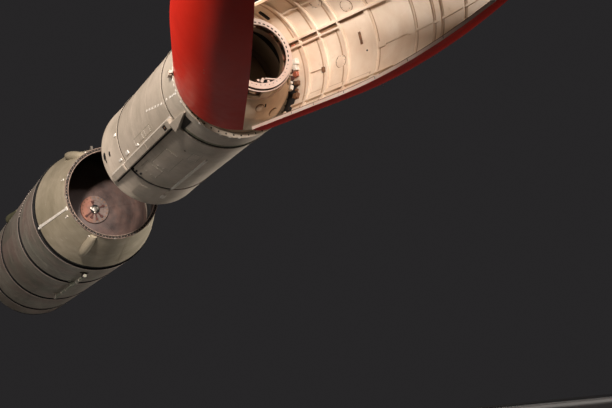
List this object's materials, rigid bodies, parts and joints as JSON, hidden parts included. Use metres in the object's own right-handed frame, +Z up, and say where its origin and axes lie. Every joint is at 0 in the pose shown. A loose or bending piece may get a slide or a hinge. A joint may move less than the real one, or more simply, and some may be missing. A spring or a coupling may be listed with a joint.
{
  "type": "three-stage satellite launch rocket, hung in sections with its fairing open",
  "caption": "Small satellite launch rocket hung level in sections: wide first stage, slim second stage, and a red payload fairing open in two ribbed halves.",
  "frame": {"origin": "top of the hoisting lug on the first stage's forward shoulder joint, where a crane or ceiling sling takes the rocket", "axes": "+X along the rocket's axis towards the nose, +Y to port, +Z up, with the rocket hung level"},
  "size_m": [15.6267, 2.9821, 2.1742],
  "materials": {
    "stage_paint": "satin grey-cream stage paint, scuffed",
    "joint_black": "dull black joint ring",
    "tank_alloy": "grey-green tank skin, streaked, half gloss",
    "dome_metal": "pinkish-brown stained alloy",
    "fairing_red": "glossy deep red",
    "inner_cream": "warm cream primer, half matt",
    "steel": "dull machined steel",
    "dark_metal": "black bracket paint",
    "nozzle_metal": "heat-tinted chamber metal"
  },
  "bodies": {
    "first_stage": {"first_stage_forward_bay": "stage_paint", "first_stage_strip": "stage_paint", "first_stage_side_cover": "stage_paint", "blister_top_right": "stage_paint", "blister_lower_right": "stage_paint", "blister_left": "stage_paint", "first_stage_front_rim": "steel", "first_stage_external_pipe": "steel", "first_stage_hoist_lug": "steel", "first_stage_turbopump": "steel", "first_stage_shoulder_joint": "joint_black", "first_stage_tank_joint_forward": "joint_black", "first_stage_tank_joint_middle": "joint_black", "first_stage_tank_joint_aft": "joint_black", "first_stage_thrust_plate": "joint_black", "first_stage_aft_ring": "joint_black", "first_stage_tank_forward": "tank_alloy", "first_stage_tank_middle": "tank_alloy", "first_stage_tank_aft": "tank_alloy", "first_stage_engine_skirt": "tank_alloy", "first_stage_front_dome": "dome_metal", "first_stage_dome_boss": "dome_metal", "gimbal_bracket_1": "dark_metal", "gimbal_bracket_2": "dark_metal", "gimbal_bracket_3": "dark_metal", "gimbal_bracket_4": "dark_metal"},
    "chamber_pair_1": {"chamber_pair_1": "nozzle_metal"},
    "chamber_pair_2": {"chamber_pair_2": "nozzle_metal"},
    "chamber_pair_3": {"chamber_pair_3": "nozzle_metal"},
    "chamber_pair_4": {"chamber_pair_4": "nozzle_metal"},
    "second_stage": {"second_stage_tank": "stage_paint", "second_stage_aft_skirt": "stage_paint", "second_stage_front_skirt": "stage_paint", "second_stage_front_rim": "stage_paint", "second_stage_frame_forward": "stage_paint", "second_stage_frame_aft": "stage_paint", "second_stage_duct": "stage_paint", "second_stage_duct_wedge": "stage_paint", "second_stage_strip": "stage_paint", "payload_cone": "inner_cream", "payload_gallery": "inner_cream", "payload_ring": "inner_cream", "second_stage_front_dome": "inner_cream", "second_stage_thrust_dome": "tank_alloy", "second_stage_thrust_frame": "dark_metal", "hinge_post_left": "steel", "hinge_post_right": "steel"},
    "gimbal_ring_left": {"gimbal_ring_left": "dark_metal"},
    "second_stage_chamber_left": {"second_stage_chamber_left": "nozzle_metal"},
    "fairing_left": {"fairing_left_shell": "fairing_red", "fairing_left_ribs": "inner_cream", "fairing_left_flange": "inner_cream", "fairing_left_hinge": "steel"},
    "gimbal_ring_right": {"gimbal_ring_right": "dark_metal"},
    "second_stage_chamber_right": {"second_stage_chamber_right": "nozzle_metal"},
    "fairing_right": {"fairing_right_shell": "fairing_red", "fairing_right_ribs": "inner_cream", "fairing_right_flange": "inner_cream", "fairing_right_hinge": "steel"}
  },
  "joints": [
    {"name": "stage_separation", "type": "slide", "parent": "first_stage", "child": "second_stage", "axis": [1, 0, 0], "range_m": [-2.19, 0]},
    {"name": "fairing_left_hinge", "type": "hinge", "parent": "second_stage", "child": "fairing_left", "pos_m": [6.343, 0.725, -1.085], "axis": [0, 0, 1], "range_deg": [-20.8, 39.2]},
    {"name": "fairing_right_hinge", "type": "hinge", "parent": "second_stage", "child": "fairing_right", "pos_m": [6.343, -0.725, -1.085], "axis": [0, 0, -1], "range_deg": [-19.4, 40.6]},
    {"name": "chamber_pair_1_swivel", "type": "hinge", "parent": "first_stage", "child": "chamber_pair_1", "pos_m": [-4.859, 0.62, -1.085], "axis": [0, 1, 0], "range_deg": [-7, 7]},
    {"name": "chamber_pair_2_swivel", "type": "hinge", "parent": "first_stage", "child": "chamber_pair_2", "pos_m": [-4.859, 0, -0.465], "axis": [0, 0, 1], "range_deg": [-7, 7]},
    {"name": "chamber_pair_3_swivel", "type": "hinge", "parent": "first_stage", "child": "chamber_pair_3", "pos_m": [-4.859, -0.62, -1.085], "axis": [0, -1, 0], "range_deg": [-7, 7]},
    {"name": "chamber_pair_4_swivel", "type": "hinge", "parent": "first_stage", "child": "chamber_pair_4", "pos_m": [-4.859, 0, -1.705], "axis": [0, 0, -1], "range_deg": [-7, 7]},
    {"name": "gimbal_ring_left_yaw", "type": "hinge", "parent": "second_stage", "child": "gimbal_ring_left", "pos_m": [3.843, 0.29, -1.085], "axis": [0, 0, 1], "range_deg": [-5, 5]},
    {"name": "chamber_left_pitch", "type": "hinge", "parent": "gimbal_ring_left", "child": "second_stage_chamber_left", "pos_m": [3.843, 0.29, -1.085], "axis": [0, 1, 0], "range_deg": [-5, 5]},
    {"name": "gimbal_ring_right_yaw", "type": "hinge", "parent": "second_stage", "child": "gimbal_ring_right", "pos_m": [3.843, -0.29, -1.085], "axis": [0, 0, 1], "range_deg": [-5, 5]},
    {"name": "chamber_right_pitch", "type": "hinge", "parent": "gimbal_ring_right", "child": "second_stage_chamber_right", "pos_m": [3.843, -0.29, -1.085], "axis": [0, 1, 0], "range_deg": [-5, 5]}
  ]
}
